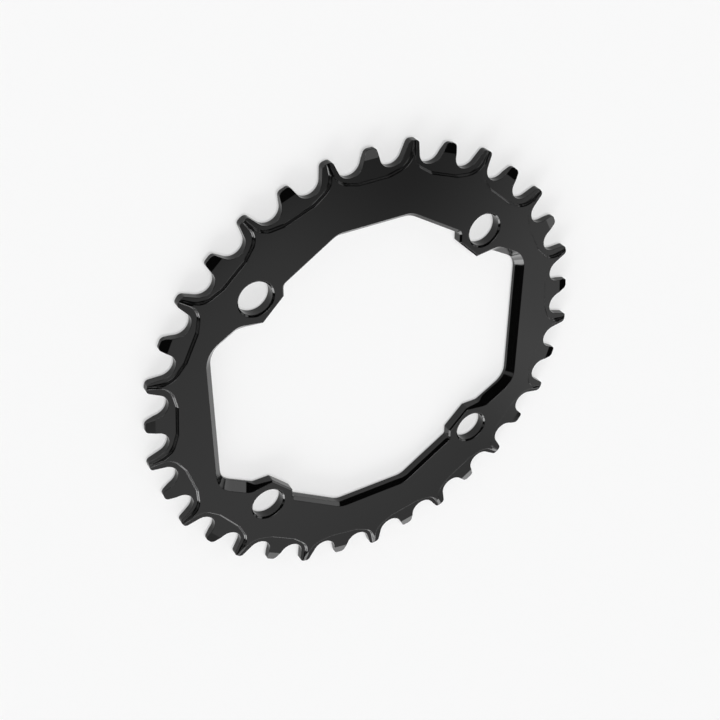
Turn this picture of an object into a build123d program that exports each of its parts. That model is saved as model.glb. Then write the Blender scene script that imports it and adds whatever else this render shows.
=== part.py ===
from build123d import *
from math import asin, cos, degrees, radians, sin, tan
import os

# Single front chainring for a bicycle crank, milled from one plate of aluminium.
# It lies flat: the axis of the crank is Z, the outer face looks up, and the origin
# is on that axis in the plane of the back face. Millimetres throughout.

# Teeth, whose tips stand out past the pitch circle
tooth_count = 34
chain_pitch = 12.7
seat_radius = 3.9
flank_lean = 14.0
wide_tip_height = 3.1
narrow_tip_height = 2.5
tip_corner_radius = 1.3
first_wide_tooth_angle = 80.2

# Plate
plate_thickness = 3.7
narrow_tooth_thickness = 2.0

# Bevels that lead the chain over the tips, each from both faces of its tooth
wide_bevel_length = 3.9
wide_bevel_depth = 0.8
narrow_bevel_length = 2.8
narrow_bevel_depth = 0.5

# Pockets that thin every second tooth and leave a spine on the others
pocket_line_inset = 6.4
pocket_line_length = 9.2
pocket_rise_angle = 15.0
pocket_seat_corner = 5.5
pocket_floor_chamfer = 0.25
pocket_rim_chamfer = 0.3
spine_width = 1.1
spine_offset = 0.4
spine_taper_angle = 8.0

# Bolts to the crank spider, each through a tab
bolt_count = 4
bolt_circle_diameter = 104.0
bolt_hole_diameter = 10.1
bolt_hole_chamfer = 0.5
tab_end_wall = 2.27
tab_side_wall = 3.35
tab_corner_radius = 0.7

# Upright wall of the opening in the middle, set in from the bolt circle
side_inset = 1.45
side_slant_angle = 60.0
side_slant_inset = 7.3
side_corner_radius = 6.2
side_root_radius = 2.5
top_inset = 3.75
long_slant_angle = 57.7
long_slant_inset = 4.84
top_corner_radius = 5.0
top_root_radius = 1.2
back_edge_chamfer = 0.6

# Width of the 45 degree slope from each part of that wall to the front face
side_slope = 2.05
side_slant_slope = 2.4
top_slope = 1.35
long_slant_slope = 1.0
tab_end_slope = 0.53
tab_side_slope = 0.5
tab_side_lean = 8.3

# How far the cutters run past the plate
clear = 3.0

# Worked out from the sizes above
pitch_angle = 360 / tooth_count
pitch_radius = chain_pitch / 2 / sin(radians(pitch_angle / 2))
wide_tip_radius = pitch_radius + wide_tip_height
narrow_tip_radius = pitch_radius + narrow_tip_height
wide_bevel_start = wide_tip_radius - wide_bevel_length
pocket_depth = (plate_thickness - narrow_tooth_thickness) / 2
pocket_floor = plate_thickness - pocket_depth
middle = Plane.XY.offset(plate_thickness / 2)

bolt_circle_radius = bolt_circle_diameter / 2
bolt_hole_radius = bolt_hole_diameter / 2
tab_angle = 180 / bolt_count
tab_end_distance = bolt_circle_radius - bolt_hole_radius - tab_end_wall
tab_side_distance = bolt_circle_radius * sin(radians(tab_angle)) - bolt_hole_radius - tab_side_wall
side_distance = bolt_circle_radius - side_inset
side_slant_distance = bolt_circle_radius - side_slant_inset
top_distance = bolt_circle_radius - top_inset
long_slant_distance = bolt_circle_radius - long_slant_inset


def meet(first, second):
    """Point shared by two lines, each given as its normal's angle and its distance."""
    a, b = radians(first[0]), radians(second[0])
    p, q = first[1], second[1]
    across = sin(b - a)
    return Vector((p * sin(b) - q * sin(a)) / across, (q * cos(a) - p * cos(b)) / across)


def line_through(point, angle):
    """The line through a point whose normal has this angle."""
    a = radians(angle)
    return (angle, point.X * cos(a) + point.Y * sin(a))


def rounded(corners):
    """Face of a closed outline given as its corners, each a point and a radius.

    A radius is held to what the straight sides next to it leave room for.
    """
    points = [point for point, _ in corners]
    sides = [points[(i + 1) % len(points)] - points[i] for i in range(len(points))]
    reach = []
    for i, (_, radius) in enumerate(corners):
        turn = sides[i - 1].get_angle(sides[i])
        reach.append(radius * tan(radians(turn / 2)))
    room = []
    for i, side in enumerate(sides):
        wanted = reach[i] + reach[(i + 1) % len(reach)]
        room.append(1.0 if wanted < 0.99 * side.length else 0.99 * side.length / wanted)
    radii = [radius * min(room[i - 1], room[i]) for i, (_, radius) in enumerate(corners)]
    return make_face(FilletPolyline(*points, radius=radii, close=True))


def mirrored(corners, x=1, y=1):
    """Corners carried to another quarter, in the order that keeps the outline's turn."""
    carried = [(Vector(x * point.X, y * point.Y), radius) for point, radius in corners]
    return carried if x == y else carried[::-1]


def all_round(quarter):
    """The corners of the first quarter, from X to Y, carried round the other three."""
    return quarter + mirrored(quarter, x=-1) + mirrored(quarter, -1, -1) + mirrored(quarter, y=-1)


def toothed_disc():
    """Outline of the teeth, a wide one along Y and then every second one."""
    half_pitch = pitch_angle / 2
    seat_distance = pitch_radius * sin(radians(flank_lean + half_pitch))
    flank = (flank_lean, seat_distance - seat_radius)
    root = meet(flank, (-half_pitch, 0.0))
    corners = []
    for i in range(tooth_count):
        tip = meet(flank, (90.0, narrow_tip_radius if i % 2 else wide_tip_radius))
        tooth = [
            (Vector(-tip.X, tip.Y), tip_corner_radius),
            (tip, tip_corner_radius),
            (root, seat_radius),
        ]
        corners += [(point.rotate(Axis.Z, -i * pitch_angle), radius) for point, radius in tooth]
    return rounded(corners)


def tip_bevel(length, depth, tip, level):
    """Wedge above the tip of the tooth along Y, whose slope starts at this level."""
    start, end = tip - length, tip + clear
    fall = depth / length * (end - start)
    high = plate_thickness + clear
    side = Polyline((start, level), (end, level - fall), (end, high), (start, high), close=True)
    return extrude(Plane.YZ * make_face(side), chain_pitch / 2, both=True)


def pocket():
    """Cutter that thins the narrow tooth along Y as far as the next two spines."""
    top = (90.0, wide_tip_radius + clear)
    line = (90.0, pitch_radius - pocket_line_inset)
    corners = []
    for side, taper in ((1, 0.0), (-1, spine_taper_angle)):
        along = 90 - side * pitch_angle
        base = Vector(wide_bevel_start, side * spine_width / 2).rotate(Axis.Z, along)
        spine = line_through(base, along - side * taper + 90)
        end = Vector(side * pocket_line_length / 2, line[1])
        rise = line_through(end, 90 + side * pocket_rise_angle)
        ends = [
            (end, 0),
            (meet(rise, spine), pocket_seat_corner),
            (meet(spine, top), 0),
        ]
        corners += ends if side > 0 else ends[::-1]
    outline = rounded(corners)
    body = extrude(Pos(0, 0, pocket_floor) * outline, pocket_depth + clear)
    body = chamfer(body.edges().group_by(Axis.Z)[0], pocket_floor_chamfer)
    rim = Pos(0, 0, plate_thickness - pocket_rim_chamfer) * outline
    return body + extrude(rim, 2 * pocket_rim_chamfer, taper=-45)


def opening_wall():
    """Outline of the upright wall round the opening."""
    right = (0.0, side_distance)
    side_slant = (side_slant_angle, side_slant_distance)
    tab_outer = (90.0, tab_side_distance)
    tab_end = (tab_angle, tab_end_distance)
    tab_inner = (0.0, tab_side_distance)
    long_slant = (long_slant_angle, long_slant_distance)
    top = (90.0, top_distance)
    quarter = [
        (meet(right, side_slant), side_corner_radius),
        (meet(side_slant, tab_outer), side_root_radius),
        (meet(tab_outer, tab_end), tab_corner_radius),
        (meet(tab_end, tab_inner), tab_corner_radius),
        (meet(tab_inner, long_slant), top_root_radius),
        (meet(long_slant, top), top_corner_radius),
    ]
    return rounded(all_round(quarter))


def slope(outline, depth):
    """The space over a 45 degree slope that starts from an outline on the front face."""
    start = Pos(0, 0, plate_thickness) * outline
    return extrude(start, -depth, taper=45)


def opening_slopes():
    """Cutters of the slopes: two side lobes, the upright lobe and the tab ends."""
    tab_end = (tab_angle, tab_end_distance + tab_end_slope)
    tab_outer = (90.0, tab_side_distance + tab_side_slope)
    tab_corner = meet(tab_outer, tab_end)
    leaning = line_through(tab_corner, 90 + tab_side_lean)
    side_slant = (side_slant_angle, side_slant_distance + side_slant_slope)
    right = (0.0, side_distance + side_slope)
    above = [
        (meet(right, side_slant), side_corner_radius + side_slope),
        (meet(side_slant, leaning), side_root_radius + side_slant_slope),
        (meet(leaning, (0.0, tab_side_distance)), 0),
    ]
    side_lobe = slope(rounded(above + mirrored(above, y=-1)), side_slant_slope)

    tab_inner = (0.0, tab_side_distance + tab_side_slope)
    long_slant = (long_slant_angle, long_slant_distance + long_slant_slope)
    top = (90.0, top_distance + top_slope)
    quarter = [
        (meet(tab_inner, long_slant), top_root_radius + long_slant_slope),
        (meet(long_slant, top), top_corner_radius + top_slope),
    ]
    upright_lobe = slope(rounded(all_round(quarter)), top_slope)

    limit = tab_corner.X + tab_end_slope
    ends = [(meet((0.0, limit), tab_end), 0), (meet(tab_end, (90.0, limit)), 0)]
    tabs = slope(rounded(all_round(ends)), 2 * tab_end_slope)
    return [side_lobe, mirror(side_lobe, Plane.YZ), upright_lobe, tabs]


def bolt_holes():
    """Bolt holes on the ends of the tabs, with a chamfer at both faces."""
    wide = bolt_hole_radius + bolt_hole_chamfer
    side = Polyline(
        (0, 0), (wide, 0), (bolt_hole_radius, bolt_hole_chamfer),
        (bolt_hole_radius, plate_thickness - bolt_hole_chamfer), (wide, plate_thickness),
        (0, plate_thickness), close=True,
    )
    hole = revolve(Plane.XZ * make_face(side), Axis.Z)
    return [place * hole for place in PolarLocations(bolt_circle_radius, bolt_count, tab_angle)]


def teeth():
    """The plate with its teeth, pockets and bevels, before the opening is cut."""
    shift = -degrees(asin(spine_offset / wide_bevel_start))
    wide = tip_bevel(wide_bevel_length, wide_bevel_depth, wide_tip_radius, plate_thickness)
    narrow = tip_bevel(narrow_bevel_length, narrow_bevel_depth, narrow_tip_radius, pocket_floor)
    front = [wide, Rot(0, 0, pitch_angle) * narrow, Rot(0, 0, pitch_angle + shift) * pocket()]
    pair = front + [mirror(cutter, middle) for cutter in front]
    cutters = [Rot(0, 0, i * pitch_angle) * cutter for i in range(0, tooth_count, 2) for cutter in pair]
    plate = extrude(toothed_disc(), plate_thickness) - cutters
    return Rot(0, 0, first_wide_tooth_angle - 90) * plate


def chainring():
    ring = teeth() - extrude(opening_wall(), plate_thickness)
    back = ring.edges().group_by(Axis.Z)[0]
    inner = back.filter_by(lambda edge: edge.center().length < bolt_circle_radius + clear)
    ring = chamfer(inner, back_edge_chamfer)
    return ring - opening_slopes() - bolt_holes()


os.makedirs("parts", exist_ok=True)
ring = chainring()
export_step(ring, "parts/chainring.step")
print("chainring", len(ring.solids()), "solid", round(ring.volume), "mm3")
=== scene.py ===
import bpy
from math import cos, radians, sin
from mathutils import Matrix, Vector

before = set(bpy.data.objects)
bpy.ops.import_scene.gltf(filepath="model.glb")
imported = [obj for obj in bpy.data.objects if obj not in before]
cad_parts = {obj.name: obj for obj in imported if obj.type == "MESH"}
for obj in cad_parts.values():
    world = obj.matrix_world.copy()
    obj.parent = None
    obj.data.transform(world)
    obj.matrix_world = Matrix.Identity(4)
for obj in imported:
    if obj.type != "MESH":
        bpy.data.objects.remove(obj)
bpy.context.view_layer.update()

# Metres and degrees throughout. Azimuth is counted from +X towards +Y and elevation up
# from the floor, both as seen from the middle of the ring.

# The camera looks down on the ring, which lies on its back face.
CAMERA_PLACE = Vector((-0.14600, 0.21087, 0.24895))
CAMERA_AIM = Vector((-0.00392, 0.00386, 0.00185))
CAMERA_ROLL = 135.64
CAMERA_CLIP = (0.01, 100.0)
FOCAL_LENGTH = 59.97
SENSOR_WIDTH = 36.0

# About half of the floor's light is scattered, which the ring shades. The rest is a glow for
# camera, glossy and transmission rays, which keeps the shadow faint. The ring mirrors the
# floor as the camera sees it.
FLOOR_SIZE = 40.0
FLOOR_GREY = 0.5
FLOOR_GLOW = 0.45

# Radiance of the dark studio round the lamps, and of the pale band above the horizon with
# the elevations between which the band fades out.
DOME = 0.005
HORIZON = 0.95
HORIZON_FADE = (7.0, 13.0)

# The round soft lamp above: its middle, how far from there it is at full strength and how
# far it reaches, and its radiance.
TOP_LAMP = {"azimuth": 124.0, "elevation": 80.0, "full": 3.0, "reach": 26.0, "radiance": 8.0}

# Soft boxes: middle azimuth, half width, lowest and highest elevation, width of the soft
# edge, radiance. The gloss of each face shows the one that it mirrors.
SOFT_BOXES = [
    # The bevels of the teeth and the slopes of the opening
    (-127.0, 14.0, 8.0, 27.0, 4.0, 8.2),
    (-98.0, 15.0, 4.0, 26.0, 4.0, 4.0),
    (-92.0, 5.0, 26.0, 34.0, 3.0, 2.2),
    (-68.0, 18.0, 4.0, 28.0, 4.0, 2.4),
    (10.0, 15.0, 13.0, 29.0, 4.0, 2.0),
    (-161.0, 9.0, 31.0, 43.0, 6.0, 0.8),
    (-20.0, 7.0, 57.0, 64.0, 3.0, 1.7),
    (-28.0, 5.0, 29.0, 35.0, 3.0, 1.6),
    # The front face, whose grey changes slowly over the ring
    (-68.0, 36.0, 29.0, 53.0, 4.0, 0.34),
    (-80.0, 30.0, 38.0, 55.0, 14.0, 0.5),
    (-40.0, 11.0, 33.0, 45.0, 8.0, 0.55),
    # Behind the camera, down to below the horizon, for the gloss in low views
    (124.0, 80.0, -24.0, 24.0, 16.0, 0.8),
]

# Gloss black anodising. The grey is of the dyed film, and is lighter on edges, partly because the
# film is thinner there and partly as a painted highlight along the rims. The roughness is that of
# the gloss, plus up to the haze in soft clouds, plus the edges' own.
FILM_GREY = 0.002
EDGE_FILM_AND_HIGHLIGHT_GREY = 0.006
FILM_IOR = 1.45
GLOSS = 0.03
HAZE = 0.02
HAZE_SCALE = 90.0
HAZE_DETAIL = 3.0
EDGE_HAZE = 0.01
GRAIN_SCALE = 6500.0
GRAIN_DETAIL = 2.0
GRAIN_DEPTH = 0.0000008

# Edges are broken with this radius. An edge shows where the cosine of the angle between
# its rounding and the flat face has fallen from the second number to the first.
EDGE_RADIUS = 0.0002
EDGE_SAMPLES = 8
EDGE_TURN = (0.85, 0.99)

HALF_TURN = 180.0


def heading(azimuth, elevation):
    """Direction of this azimuth and elevation."""
    a, e = radians(azimuth), radians(elevation)
    return Vector((cos(a) * cos(e), sin(a) * cos(e), sin(e)))


def grey(level):
    """A grey as a colour socket takes it."""
    return (level, level, level, 1.0)


def camera():
    """Camera at the photograph's angle."""
    data = bpy.data.cameras.new("camera")
    data.lens = FOCAL_LENGTH
    data.sensor_width = SENSOR_WIDTH
    data.clip_start, data.clip_end = CAMERA_CLIP
    lens = bpy.data.objects.new("camera", data)
    bpy.context.scene.collection.objects.link(lens)
    sight = (CAMERA_AIM - CAMERA_PLACE).to_track_quat("-Z", "Y").to_matrix().to_4x4()
    roll = Matrix.Rotation(radians(CAMERA_ROLL), 4, "Z")
    lens.matrix_world = Matrix.Translation(CAMERA_PLACE) @ sight @ roll
    bpy.context.scene.camera = lens


class Graph:
    """The nodes of a material or world, with the few kinds of node used here."""

    def __init__(self, tree):
        self.nodes, self.links = tree.nodes, tree.links

    def put(self, value, socket):
        """Link a socket's value, or set a plain number or vector."""
        if isinstance(value, bpy.types.NodeSocket):
            self.links.new(value, socket)
        else:
            socket.default_value = value

    def math(self, operation, *values):
        node = self.nodes.new("ShaderNodeMath")
        node.operation = operation
        for value, socket in zip(values, node.inputs):
            self.put(value, socket)
        return node.outputs["Value"]

    def dot(self, first, second):
        node = self.nodes.new("ShaderNodeVectorMath")
        node.operation = "DOT_PRODUCT"
        self.put(first, node.inputs[0])
        self.put(second, node.inputs[1])
        return node.outputs["Value"]

    def fade(self, value, full, none, top=1.0, bottom=0.0):
        """The top value as far as full, the bottom one from none on, smooth between."""
        node = self.nodes.new("ShaderNodeMapRange")
        node.interpolation_type = "SMOOTHSTEP"
        ends = {"Value": value, "From Min": full, "From Max": none, "To Min": top, "To Max": bottom}
        for name, end in ends.items():
            self.put(end, node.inputs[name])
        return node.outputs["Result"]

    def noise(self, place, scale, detail):
        node = self.nodes.new("ShaderNodeTexNoise")
        self.put(place, node.inputs["Vector"])
        node.inputs["Scale"].default_value = scale
        node.inputs["Detail"].default_value = detail
        return node.outputs["Fac"]


def floor():
    """Plain matt floor, which isn't part of the object."""
    bpy.ops.mesh.primitive_plane_add(size=FLOOR_SIZE)
    plane = bpy.context.object
    plane.name = "floor"
    material = bpy.data.materials.new("floor")
    material.use_nodes = True
    graph = Graph(material.node_tree)
    shader = graph.nodes["Principled BSDF"]
    shader.inputs["Base Color"].default_value = grey(FLOOR_GREY)
    shader.inputs["Roughness"].default_value = 1.0
    shader.inputs["Specular IOR Level"].default_value = 0.0
    shader.inputs["Emission Color"].default_value = grey(1.0)
    rays = graph.nodes.new("ShaderNodeLightPath").outputs
    seen = graph.math("MAXIMUM", rays["Is Camera Ray"], rays["Is Glossy Ray"])
    seen = graph.math("MAXIMUM", seen, rays["Is Transmission Ray"])
    graph.put(graph.math("MULTIPLY", seen, FLOOR_GLOW), shader.inputs["Emission Strength"])
    plane.data.materials.append(material)


def top_lamp(graph, direction, azimuth, elevation, full, reach, radiance):
    """Radiance of the round lamp in this direction."""
    cosine = graph.dot(direction, heading(azimuth, elevation))
    away = graph.math("DEGREES", graph.math("ARCCOSINE", cosine))
    return graph.fade(away, full, reach, top=radiance)


def band(graph, away, half, edge):
    """1 within half a width of the middle and 0 outside, across a soft edge."""
    return graph.fade(graph.math("ABSOLUTE", away), half - edge / 2, half + edge / 2)


def studio():
    """World of dark studio, pale horizon and soft lamps, the same for every ray."""
    world = bpy.data.worlds.new("studio")
    world.use_nodes = True
    graph = Graph(world.node_tree)
    direction = graph.nodes.new("ShaderNodeTexCoord").outputs["Generated"]
    parts = graph.nodes.new("ShaderNodeSeparateXYZ")
    graph.put(direction, parts.inputs["Vector"])
    east, north, high = (parts.outputs[axis] for axis in "XYZ")
    azimuth = graph.math("DEGREES", graph.math("ARCTAN2", north, east))
    elevation = graph.math("DEGREES", graph.math("ARCSINE", high))

    total = graph.fade(elevation, *HORIZON_FADE, top=DOME + HORIZON, bottom=DOME)
    total = graph.math("ADD", total, top_lamp(graph, direction, **TOP_LAMP))
    for middle, half_width, low, top, edge, radiance in SOFT_BOXES:
        turned = graph.math("SUBTRACT", azimuth, middle)
        aside = graph.math("WRAP", turned, HALF_TURN, -HALF_TURN)
        above = graph.math("SUBTRACT", elevation, (low + top) / 2)
        across = band(graph, aside, half_width, edge)
        upright = band(graph, above, (top - low) / 2, edge)
        inside = graph.math("MULTIPLY", across, upright)
        total = graph.math("MULTIPLY_ADD", inside, radiance, total)
    graph.put(total, graph.nodes["Background"].inputs["Color"])
    bpy.context.scene.world = world


def black_anodised():
    """Gloss black film with a faint haze, a fine etched grain and broken edges, whose lighter grey
    is partly a painted highlight.
    """
    material = bpy.data.materials.new("black_anodised")
    material.use_nodes = True
    graph = Graph(material.node_tree)
    shader = graph.nodes["Principled BSDF"]
    shader.inputs["IOR"].default_value = FILM_IOR
    place = graph.nodes.new("ShaderNodeTexCoord").outputs["Object"]

    edge = graph.nodes.new("ShaderNodeBevel")
    edge.samples = EDGE_SAMPLES
    edge.inputs["Radius"].default_value = EDGE_RADIUS
    rounded = edge.outputs["Normal"]
    face = graph.nodes.new("ShaderNodeNewGeometry").outputs["Normal"]
    turn = graph.dot(rounded, face)

    # The film's grey is lighter on edges, partly for the thinner film there and partly as a painted
    # highlight along the rims.
    graph.put(graph.fade(turn, *EDGE_TURN, EDGE_FILM_AND_HIGHLIGHT_GREY, FILM_GREY), shader.inputs["Base Color"])
    haze = graph.math("MULTIPLY_ADD", graph.noise(place, HAZE_SCALE, HAZE_DETAIL), HAZE, GLOSS)
    worn = graph.fade(turn, *EDGE_TURN, EDGE_HAZE, 0.0)
    graph.put(graph.math("ADD", haze, worn), shader.inputs["Roughness"])

    grain = graph.nodes.new("ShaderNodeBump")
    grain.inputs["Distance"].default_value = GRAIN_DEPTH
    graph.put(graph.noise(place, GRAIN_SCALE, GRAIN_DETAIL), grain.inputs["Height"])
    graph.put(rounded, grain.inputs["Normal"])
    graph.put(grain.outputs["Normal"], shader.inputs["Normal"])
    return material


camera()
floor()
studio()
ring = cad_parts["chainring"]
ring.data.materials.clear()
ring.data.materials.append(black_anodised())
bpy.context.scene.view_settings.view_transform = "Standard"
